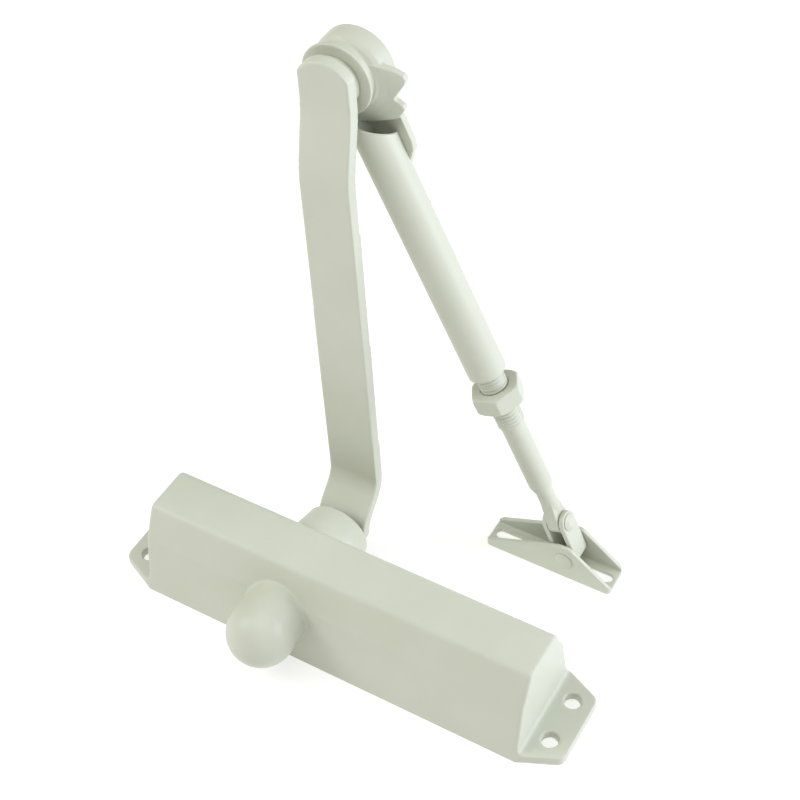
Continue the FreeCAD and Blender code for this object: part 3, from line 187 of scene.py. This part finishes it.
# Adjusting rod: thread, shank, neck and flat tang with an eye
ROD_RADIUS = 4.95
THREAD_START = 94.0
THREAD_END = 143.9
THREAD_PITCH = 1.5
THREAD_DEPTH = 0.28
THREAD_RUNOUT = 0.5
THREAD_ROWS = 8
THREAD_STEPS = 48
SHANK_RADIUS = 4.35
SHANK_OVERLAP = 1.0
SHANK_END = 172.4
NECK_START = 176.4
NECK_RADIUS = 3.2
NECK_END = 185.4
NECK_TAPER = 0.9
NECK_TAPER_START = NECK_END - 1.5
NECK_TIP = NECK_END + 0.5
SHANK_PROFILE = [
    (SHANK_RADIUS, THREAD_END - SHANK_OVERLAP), (SHANK_RADIUS, SHANK_END), (NECK_RADIUS, NECK_START),
    (NECK_RADIUS, NECK_TAPER_START), (NECK_RADIUS - NECK_TAPER, NECK_TIP),
]
SHANK_STEPS = 64
TANG_ROOT = 180.4
TANG_THICKNESS = 4.6
TANG_WIDTH = 8.4
EYE_BORE = 2.05
EYE_STEPS = 48
ROD_VOXEL = 0.00022
ROD_PASSES = 5
ROD_CREASE = 50


def new_material(name):
    """Empty node material with its shader and output."""
    material = bpy.data.materials.new(name)
    material.use_nodes = True
    return material, material.node_tree, material.node_tree.nodes["Principled BSDF"]


def object_noise(tree, scale, detail):
    """Noise texture in object coordinates."""
    place = tree.nodes.new("ShaderNodeTexCoord")
    noise = tree.nodes.new("ShaderNodeTexNoise")
    noise.inputs["Scale"].default_value = scale
    noise.inputs["Detail"].default_value = detail
    tree.links.new(place.outputs["Object"], noise.inputs["Vector"])
    return noise


def colour_ramp(tree, factor, low, high):
    """Ramp between two colours over the middle of a noise."""
    ramp = tree.nodes.new("ShaderNodeValToRGB")
    ramp.color_ramp.elements[0].position = NOISE_LOW
    ramp.color_ramp.elements[0].color = (*low, 1)
    ramp.color_ramp.elements[1].position = NOISE_HIGH
    ramp.color_ramp.elements[1].color = (*high, 1)
    tree.links.new(factor, ramp.inputs["Fac"])
    return ramp


def add_bump(tree, shader, height, strength, distance):
    """Bump from a height output into the shader's normal."""
    bump = tree.nodes.new("ShaderNodeBump")
    bump.inputs["Strength"].default_value = strength
    bump.inputs["Distance"].default_value = distance
    tree.links.new(height, bump.inputs["Height"])
    tree.links.new(bump.outputs["Normal"], shader.inputs["Normal"])


def roughness_range(tree, shader, factor, low, high):
    """Roughness that wanders between two values."""
    span = tree.nodes.new("ShaderNodeMapRange")
    span.inputs["From Min"].default_value = NOISE_LOW
    span.inputs["From Max"].default_value = NOISE_HIGH
    span.inputs["To Min"].default_value = low
    span.inputs["To Max"].default_value = high
    tree.links.new(factor, span.inputs["Value"])
    tree.links.new(span.outputs["Result"], shader.inputs["Roughness"])


def enamel_material(name, low, high, roughness):
    """Sprayed enamel: faint clouds of tone and a fine orange peel."""
    material, tree, shader = new_material(name)
    clouds = object_noise(tree, *CLOUDS)
    ramp = colour_ramp(tree, clouds.outputs["Fac"], low, high)
    tree.links.new(ramp.outputs["Color"], shader.inputs["Base Color"])
    less, more = ENAMEL_SPREAD
    roughness_range(tree, shader, clouds.outputs["Fac"], roughness - less, roughness + more)
    shader.inputs["Specular IOR Level"].default_value = ENAMEL_SPECULAR
    peel = object_noise(tree, *PEEL)
    add_bump(tree, shader, peel.outputs["Fac"], *PEEL_BUMP)
    return material


def metal_material(name, colour, roughness):
    """Bare metal with fine turning marks."""
    material, tree, shader = new_material(name)
    grain = object_noise(tree, *METAL_GRAIN)
    dark = tuple(METAL_SHADE * c for c in colour)
    ramp = colour_ramp(tree, grain.outputs["Fac"], dark, colour)
    tree.links.new(ramp.outputs["Color"], shader.inputs["Base Color"])
    shader.inputs["Metallic"].default_value = 1.0
    less, more = METAL_SPREAD
    roughness_range(tree, shader, grain.outputs["Fac"], roughness - less, roughness + more)
    add_bump(tree, shader, grain.outputs["Fac"], *METAL_BUMP)
    return material


def rubber_material(name, colour):
    """Dull rubber with a fine grain."""
    material, tree, shader = new_material(name)
    grain = object_noise(tree, *RUBBER_GRAIN)
    light = tuple(RUBBER_LIGHT * c for c in colour)
    ramp = colour_ramp(tree, grain.outputs["Fac"], colour, light)
    tree.links.new(ramp.outputs["Color"], shader.inputs["Base Color"])
    roughness_range(tree, shader, grain.outputs["Fac"], *RUBBER_ROUGHNESS)
    return material


def make_materials():
    """Materials by the name of their slot."""
    return {
        "painted_casting": enamel_material("casting_enamel", ENAMEL_SHADE, ENAMEL, 0.42),
        "painted_steel": enamel_material("steel_enamel", ENAMEL_SHADE, ENAMEL, 0.36),
        "plated_steel": metal_material("zinc_plate", ZINC, 0.32),
        "machined_steel": metal_material("machined_steel", STEEL, 0.28),
        "bearing_bronze": metal_material("sintered_bronze", BRONZE, 0.42),
        "valve_brass": metal_material("turned_brass", BRASS, 0.28),
        "seal_rubber": rubber_material("nitrile", RUBBER),
    }


def dress_nodes(materials):
    """Give each solid the material of its slot."""
    for part in frame["record"]["subparts"]:
        node = frame["nodes"][part["node"]]
        node.data.materials.clear()
        node.data.materials.append(materials[part["material_slot"]])


def make_camera():
    """Camera at the photograph's viewing angle."""
    data = bpy.data.cameras.new("photo_camera")
    data.angle = FIELD_OF_VIEW
    data.clip_start = CAMERA_NEAR
    camera = bpy.data.objects.new("photo_camera", data)
    right = CAMERA_RIGHT.normalized()
    back = -CAMERA_FORWARD.normalized()
    up = back.cross(right).normalized()
    right = up.cross(back).normalized()
    turn = Matrix((right, up, back)).transposed()
    camera.matrix_world = Matrix.Translation(CAMERA_PLACE) @ turn.to_4x4()
    bpy.context.scene.collection.objects.link(camera)
    bpy.context.scene.camera = camera


def make_floor():
    """Pale floor, far larger than the part."""
    mesh = bpy.data.meshes.new("floor")
    corners = [(-1, -1), (1, -1), (1, 1), (-1, 1)]
    mesh.from_pydata([(x * FLOOR_REACH, y * FLOOR_REACH, 0) for x, y in corners], [], [(0, 1, 2, 3)])
    floor = bpy.data.objects.new("floor", mesh)
    bpy.context.scene.collection.objects.link(floor)
    shader = new_material("floor_white")[2]
    shader.inputs["Roughness"].default_value = FLOOR_ROUGHNESS
    shader.inputs["Specular IOR Level"].default_value = 0.0
    shader.inputs["Base Color"].default_value = (FLOOR_GREY, FLOOR_GREY, FLOOR_GREY, 1)
    shader.inputs["Emission Color"].default_value = FLOOR_GLOW_COLOUR
    shader.inputs["Emission Strength"].default_value = FLOOR_GLOW
    mesh.materials.append(bpy.data.materials["floor_white"])


def area_light(name, place, size, power, colour):
    """Square softbox turned towards the aim."""
    data = bpy.data.lights.new(name, "AREA")
    data.shape = "SQUARE"
    data.size = size
    data.energy = power
    data.color = colour
    light = bpy.data.objects.new(name, data)
    light.location = place
    light.rotation_euler = (LIGHT_AIM - Vector(place)).to_track_quat("-Z", "Y").to_euler()
    bpy.context.scene.collection.objects.link(light)


def make_light():
    """Dim warm world that the camera sees as a pale backdrop, and three softboxes."""
    world = bpy.data.worlds.new("studio")
    world.use_nodes = True
    tree = world.node_tree
    background = tree.nodes["Background"]
    background.inputs["Color"].default_value = WORLD_COLOUR
    seen = tree.nodes.new("ShaderNodeLightPath")
    strength = tree.nodes.new("ShaderNodeMath")
    strength.operation = "MULTIPLY_ADD"
    strength.inputs[1].default_value = BACKDROP_LIFT
    strength.inputs[2].default_value = WORLD_STRENGTH
    tree.links.new(seen.outputs["Is Camera Ray"], strength.inputs[0])
    tree.links.new(strength.outputs["Value"], background.inputs["Strength"])
    bpy.context.scene.world = world
    bpy.context.scene.view_settings.view_transform = "Standard"
    for settings in LIGHTS:
        area_light(*settings)


def body_of_node(node):
    """Name of the body that carries a CAD node."""
    for body, nodes in frame["record"]["behaviour"]["bodies"].items():
        if node in nodes:
            return body
    return None


def slot_of_node(node):
    """Material slot of a CAD node."""
    for part in frame["record"]["subparts"]:
        if part["node"] == node:
            return part["material_slot"]
    return None


def place_piece(name, mesh, node, materials):
    """Put a mesh in the scene in a CAD node's stead, on the same body and in the same finish."""
    slot = slot_of_node(node)
    mesh.materials.clear()
    mesh.materials.append(materials[slot])
    piece = bpy.data.objects.new(name, mesh)
    bpy.context.scene.collection.objects.link(piece)
    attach(piece, body_of_node(node))
    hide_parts(node)


def applied(mesh, modifiers):
    """New mesh after a list of (type, settings) modifiers."""
    holder = bpy.data.objects.new("holder", mesh)
    bpy.context.scene.collection.objects.link(holder)
    for kind, settings in modifiers:
        modifier = holder.modifiers.new(kind, kind)
        for key, value in settings.items():
            setattr(modifier, key, value)
    graph = bpy.context.evaluated_depsgraph_get()
    result = bpy.data.meshes.new_from_object(holder.evaluated_get(graph))
    bpy.data.objects.remove(holder)
    return result


def rounded(mesh, voxel, passes):
    """Mesh rebuilt in small voxels and smoothed, so that its edges are soft."""
    return applied(mesh, [
        ("REMESH", {"mode": "VOXEL", "voxel_size": voxel, "use_smooth_shade": True}),
        ("SMOOTH", {"factor": SMOOTH_FACTOR, "iterations": passes}),
    ])


def softened(node, voxel, passes, materials):
    """The node's shape with edges rounded as paint and casting leave them."""
    mesh = rounded(frame["nodes"][node].data.copy(), voxel, passes)
    place_piece(node + "_surface", mesh, node, materials)


def solid_mesh(vertices, faces):
    """Mesh of millimetre points with its faces turned outwards."""
    mesh = bpy.data.meshes.new("solid")
    mesh.from_pydata([tuple(Vector(v) * MM) for v in vertices], [], faces)
    data = bmesh.new()
    data.from_mesh(mesh)
    bmesh.ops.recalc_face_normals(data, faces=data.faces)
    data.to_mesh(mesh)
    data.free()
    return mesh


def skin(rows, steps, looped):
    """Faces between rows of points: a loop joins the last row to the first, else both ends are closed."""
    faces = []
    for row in range(rows if looped else rows - 1):
        following = (row + 1) % rows
        for i in range(steps):
            j = (i + 1) % steps
            faces.append((row * steps + i, row * steps + j, following * steps + j, following * steps + i))
    if not looped:
        faces.append(tuple(range(steps)))
        faces.append(tuple(range((rows - 1) * steps, rows * steps)))
    return faces


def lathed(profile, origin, axis, steps, looped=False):
    """Solid of revolution from (radius, distance) points; a looped profile off the axis gives a ring."""
    axis = Vector(axis).normalized()
    side = axis.orthogonal().normalized()
    other = axis.cross(side)
    vertices = []
    for radius, distance in profile:
        for i in range(steps):
            angle = 2 * math.pi * i / steps
            out = side * math.cos(angle) + other * math.sin(angle)
            vertices.append(origin + axis * distance + out * radius)
    return solid_mesh(vertices, skin(len(profile), steps, looped))


def plate(points, sweep):
    """Flat outline of points swept along a vector."""
    count = len(points)
    vertices = [Vector(p) for p in points] + [Vector(p) + sweep for p in points]
    faces = [tuple(range(count)), tuple(range(count, 2 * count))]
    for i in range(count):
        j = (i + 1) % count
        faces.append((i, j, count + j, count + i))
    return solid_mesh(vertices, faces)


def joined(meshes):
    """One mesh that holds several solids."""
    data = bmesh.new()
    for mesh in meshes:
        data.from_mesh(mesh)
    result = bpy.data.meshes.new("joined")
    data.to_mesh(result)
    data.free()
    return result


def combined(first, second, operation):
    """Boolean of two meshes: INTERSECT keeps what they share, DIFFERENCE cuts the second out."""
    tool = bpy.data.objects.new("tool", second)
    bpy.context.scene.collection.objects.link(tool)
    result = applied(first, [("BOOLEAN", {"operation": operation, "solver": "EXACT", "object": tool})])
    bpy.data.objects.remove(tool)
    return result


def smooth_shaded(mesh, degrees):
    """Smooth shading with creases sharper than an angle kept."""
    mesh.shade_smooth()
    mesh.set_sharp_from_angle(angle=math.radians(degrees))
    return mesh


def on_forearm(distance):
    """Point on the line of the forearm."""
    return FOREARM_TOP + FOREARM * distance


def on_head(points, y):
    """Points (along, across) of the knuckle's plane at one y."""
    return [ELBOW + HEAD_ALONG * run + HEAD_ACROSS * offset + Vector((0, y, 0)) for run, offset in points]


def pinion_cap(materials):
    """Ball-shaped cap with a short neck."""
    profile = [(CAP_NECK_RADIUS, CAP_SEAT - CAP_SKIRT)]
    first = -math.acos(CAP_NECK_RADIUS / CAP_RADIUS)
    for i in range(CAP_ROWS + 1):
        angle = first + (math.pi / 2 - first) * i / CAP_ROWS
        radius = max(CAP_RADIUS * math.cos(angle), CAP_POLE)
        profile.append((radius, CAP_CENTRE + CAP_RADIUS * math.sin(angle)))
    mesh = lathed(profile, PINION, (0, -1, 0), CAP_STEPS)
    place_piece("pinion_cap_surface", smooth_shaded(mesh, CAP_CREASE), "pinion_cap", materials)


def knuckle(materials):
    """Drum, flared claws and ear plate, run together like one pressed and welded piece."""
    across = (0, 1, 0)
    neck = lathed(NECK_PROFILE, ELBOW, across, KNUCKLE_STEPS, looped=True)
    drum = lathed(DRUM_PROFILE, ELBOW + DRUM_SHIFT, across, KNUCKLE_STEPS, looped=True)
    bell = lathed(BELL_PROFILE, ELBOW, across, KNUCKLE_STEPS, looped=True)
    claw_block = plate(on_head(CLAW_OUTLINE, HEAD_FRONT), Vector((0, HEAD_BACK - HEAD_FRONT, 0)))
    claws = combined(bell, claw_block, "INTERSECT")
    ears = plate(on_head(EAR_OUTLINE, EAR_FRONT), Vector((0, HEAD_BACK - EAR_FRONT, 0)))
    mesh = rounded(joined([neck, drum, claws, ears]), KNUCKLE_VOXEL, KNUCKLE_PASSES)
    place_piece("knuckle_surface", mesh, "forearm_head", materials)


def forearm_tube(materials):
    """Tube with rolled edges; its upper mouth is cut on a slant and stands open."""
    mouth = TUBE_MOUTH + 2 * TUBE_EDGE
    foot = TUBE_END - TUBE_EDGE
    bore = ROD_RADIUS + ROD_CLEARANCE
    rings = [
        (TUBE_RADIUS - TUBE_EDGE / 2, TUBE_MOUTH, 1.0),
        (TUBE_RADIUS, TUBE_MOUTH + TUBE_EDGE / 2, 1.0),
        (TUBE_RADIUS, mouth, 1.0),
    ]
    for i in range(1, TUBE_ROWS):
        share = i / TUBE_ROWS
        rings.append((TUBE_RADIUS, mouth + (foot - mouth) * share, (1 - share) ** SLANT_FADE))
    rings += [
        (TUBE_RADIUS, foot, 0.0), (TUBE_RADIUS - TUBE_EDGE, TUBE_END, 0.0),
        (bore, TUBE_END, 0.0), (bore, TUBE_END - TUBE_LIP, 0.0),
        (TUBE_BORE, SPIGOT_END, 0.0), (TUBE_BORE, TUBE_MOUTH + TUBE_EDGE, 1.0),
    ]
    vertices = []
    for radius, distance, slant in rings:
        for i in range(TUBE_STEPS):
            angle = 2 * math.pi * i / TUBE_STEPS
            out = FOREARM_FLAT * math.sin(angle) - FOREARM_SIDE * math.cos(angle)
            run = distance + TUBE_MOUTH_SLANT * math.cos(angle - TUBE_MOUTH_TURN) * slant
            vertices.append(on_forearm(run) + out * radius)
    mesh = solid_mesh(vertices, skin(len(rings), TUBE_STEPS, True))
    place_piece("tube_surface", smooth_shaded(mesh, TUBE_CREASE), "forearm_tube", materials)


def tube_plug(materials):
    """Spigot of the knuckle, deep in the tube."""
    profile = [
        (TUBE_BORE - SPIGOT_CHAMFER, SPIGOT_END - SPIGOT_CHAMFER), (TUBE_BORE, SPIGOT_END),
        (TUBE_BORE, SPIGOT_END + SPIGOT_LENGTH),
    ]
    mesh = lathed(profile, FOREARM_TOP, FOREARM, SPIGOT_STEPS)
    place_piece("tube_plug", smooth_shaded(mesh, TUBE_CREASE), "forearm_head", materials)


def rod_thread(materials):
    """Rolled thread under its paint, which runs out at the shank."""
    length = THREAD_END - THREAD_START
    rows = int(length / THREAD_PITCH * THREAD_ROWS)
    vertices = []
    for row in range(rows + 1):
        run = THREAD_START + length * row / rows
        runout = THREAD_RUNOUT * (1 - min(1.0, (THREAD_END - run) / THREAD_PITCH))
        for i in range(THREAD_STEPS):
            angle = 2 * math.pi * i / THREAD_STEPS
            valley = 0.5 - 0.5 * math.cos(2 * math.pi * run / THREAD_PITCH - angle)
            out = FOREARM_SIDE * math.cos(angle) + FOREARM_FLAT * math.sin(angle)
            vertices.append(on_forearm(run) + out * (ROD_RADIUS - THREAD_DEPTH * valley - runout))
    mesh = solid_mesh(vertices, skin(rows + 1, THREAD_STEPS, False))
    place_piece("rod_thread", smooth_shaded(mesh, ROD_CREASE), "adjusting_rod", materials)


def rod_shank(materials):
    """Shank, neck and flat tang of the rod, with a bored eye."""
    half = TANG_THICKNESS / 2
    shank = lathed(SHANK_PROFILE, FOREARM_TOP, FOREARM, SHANK_STEPS)
    eye = lathed([(TANG_WIDTH / 2, -half), (TANG_WIDTH / 2, half)], EYE, FOREARM_SIDE, SHANK_STEPS)
    root = on_forearm(TANG_ROOT) - FOREARM_SIDE * half
    low = EYE - FOREARM_SIDE * half
    corners = [
        root - FOREARM_FLAT * half, low - FOREARM_FLAT * (TANG_WIDTH / 2),
        low + FOREARM_FLAT * (TANG_WIDTH / 2), root + FOREARM_FLAT * half,
    ]
    tang = plate(corners, FOREARM_SIDE * TANG_THICKNESS)
    bar = rounded(joined([shank, eye, tang]), ROD_VOXEL, ROD_PASSES)
    bore_profile = [(EYE_BORE, -TANG_THICKNESS), (EYE_BORE, TANG_THICKNESS)]
    bore = lathed(bore_profile, EYE, FOREARM_SIDE, EYE_STEPS)
    mesh = smooth_shaded(combined(bar, bore, "DIFFERENCE"), ROD_CREASE)
    place_piece("rod_surface", mesh, "adjusting_rod", materials)


materials = make_materials()
make_camera()
make_floor()
make_light()
dress_nodes(materials)
for node, voxel, passes in SOFT_NODES:
    softened(node, voxel, passes, materials)
for make_piece in (pinion_cap, knuckle, forearm_tube, tube_plug, rod_thread, rod_shank):
    make_piece(materials)
